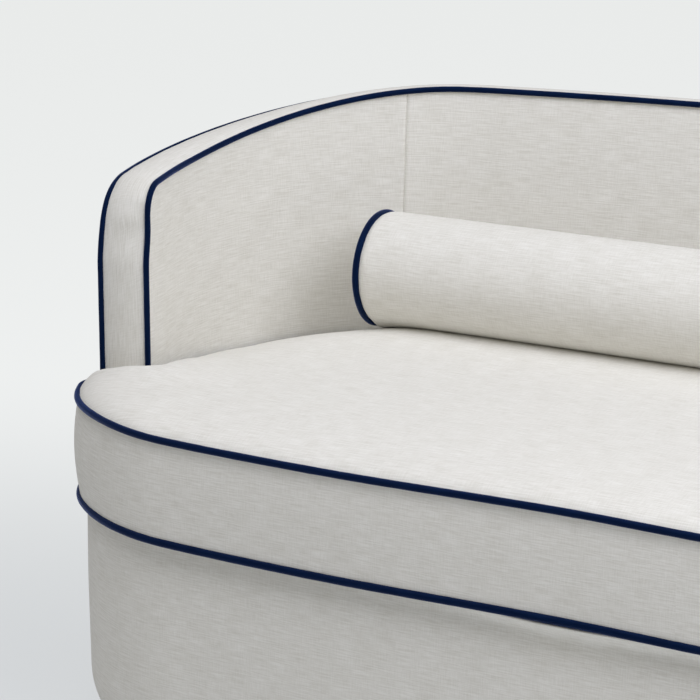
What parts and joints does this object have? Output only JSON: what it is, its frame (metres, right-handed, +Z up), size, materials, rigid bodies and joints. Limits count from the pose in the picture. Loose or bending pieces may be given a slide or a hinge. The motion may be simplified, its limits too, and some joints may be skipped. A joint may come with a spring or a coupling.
{
  "type": "three-seater sofa",
  "caption": "Barrel-backed upholstered sofa in pale linen with contrast piping, a one-piece crowned T-shaped seat cushion and a long round bolster.",
  "frame": {"origin": "on the floor under the middle of the sofa's box", "axes": "+X along the sofa's length, +Y towards its back, +Z up; the front faces -Y"},
  "size_m": [2.101, 0.943, 0.8845],
  "materials": {
    "ivory_linen": "plain-weave slubby linen",
    "navy_piping": "smooth cotton piping with a slight sheen",
    "foam": "open-cell foam",
    "zip_tape": "woven zip tape with coil",
    "zip_metal": "nickel-plated slider",
    "jute_webbing": "woven webbing",
    "deck_cloth": "plain lining cloth",
    "dust_cloth": "black non-woven cloth",
    "frame_wood": "sawn hardwood",
    "foot_wood": "dark stained hardwood",
    "glide_plastic": "moulded nylon",
    "steel": "zinc plated"
  },
  "bodies": {
    "root": {"arm_post_left": "frame_wood", "arm_post_right": "frame_wood", "arm_top_rail_left": "frame_wood", "arm_top_rail_right": "frame_wood", "back_corner_rail_left": "frame_wood", "back_corner_rail_right": "frame_wood", "back_rail": "frame_wood", "back_top_rail": "frame_wood", "back_uprights": "frame_wood", "base_cover_front": "ivory_linen", "base_cover_rear": "ivory_linen", "base_ribs": "frame_wood", "bottom_board_back": "frame_wood", "bottom_board_front": "frame_wood", "bottom_board_left": "frame_wood", "bottom_board_right": "frame_wood", "cross_stretcher_left": "frame_wood", "cross_stretcher_right": "frame_wood", "cross_webbing_straps": "jute_webbing", "deck_cloth": "deck_cloth", "deck_pad": "foam", "dust_cover": "dust_cloth", "foot_back_centre": "foot_wood", "foot_back_left": "foot_wood", "foot_back_right": "foot_wood", "foot_bolts": "steel", "foot_front_centre": "foot_wood", "foot_front_left": "foot_wood", "foot_front_right": "foot_wood", "foot_glides": "glide_plastic", "front_corner_rail_left": "frame_wood", "front_corner_rail_right": "frame_wood", "front_rail": "frame_wood", "inner_piping": "navy_piping", "inside_arm_pad_left": "ivory_linen", "inside_arm_pad_right": "ivory_linen", "inside_back_pad": "ivory_linen", "outer_piping": "navy_piping", "outside_arm_cover_left": "ivory_linen", "outside_arm_cover_right": "ivory_linen", "outside_back_cover": "ivory_linen", "rail_cleats": "frame_wood", "side_rail_left": "frame_wood", "side_rail_right": "frame_wood", "top_band": "ivory_linen", "webbing_rail": "frame_wood", "webbing_straps": "jute_webbing"},
    "seat_cushion": {"seat_cushion_cover": "ivory_linen", "seat_cushion_core": "foam", "seat_cushion_piping_top": "navy_piping", "seat_cushion_piping_bottom": "navy_piping", "seat_cushion_zip": "zip_tape"},
    "bolster": {"bolster_cover": "ivory_linen", "bolster_core": "foam", "bolster_piping_left": "navy_piping", "bolster_piping_right": "navy_piping", "bolster_zip": "zip_tape"},
    "seat_zip_slider": {"seat_cushion_zip_slider": "zip_metal"},
    "bolster_zip_slider": {"bolster_zip_slider": "zip_metal"}
  },
  "joints": [
    {"name": "seat_cushion_lift", "type": "slide", "parent": "root", "child": "seat_cushion", "axis": [0, 0, 1], "range_m": [0, 0.25]},
    {"name": "bolster_lift", "type": "slide", "parent": "seat_cushion", "child": "bolster", "axis": [0, 0, 1], "range_m": [0, 0.3]},
    {"name": "seat_zip_run", "type": "hinge", "parent": "seat_cushion", "child": "seat_zip_slider", "pos_m": [0, -3.9435, 0.433], "axis": [0, 0, -1], "range_deg": [0, 13.7]},
    {"name": "bolster_zip_run", "type": "slide", "parent": "bolster", "child": "bolster_zip_slider", "axis": [1, 0, 0], "range_m": [0, 0.886]}
  ]
}
